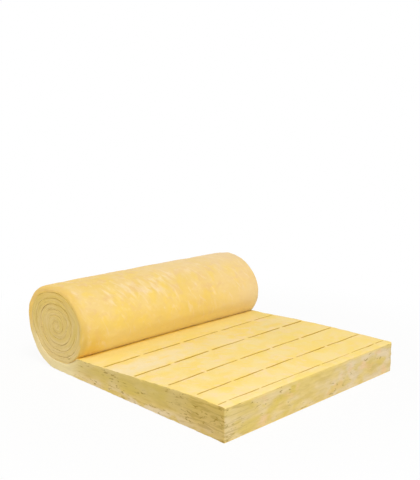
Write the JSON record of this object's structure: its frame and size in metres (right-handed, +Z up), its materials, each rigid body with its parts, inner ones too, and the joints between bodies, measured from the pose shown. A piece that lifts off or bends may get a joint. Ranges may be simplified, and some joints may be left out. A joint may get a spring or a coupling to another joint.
{
  "type": "insulation roll",
  "caption": "Unfaced yellow glass wool mat, partly unrolled: a wound roll with its turns showing on the ends, and a laid length at full thickness with dashed cut marks across it.",
  "frame": {"origin": "on the floor, at the middle of the whole object's length and width", "axes": "+X along the laid mat from the roll to the cut end, +Y along the roll, +Z up"},
  "size_m": [1.4577, 1.2, 0.442],
  "materials": {
    "glass_wool": "matte felted fibre, yellow, paler and more olive on the cut faces"
  },
  "bodies": {
    "root": {"glass_wool_mat": "glass_wool"}
  },
  "joints": []
}
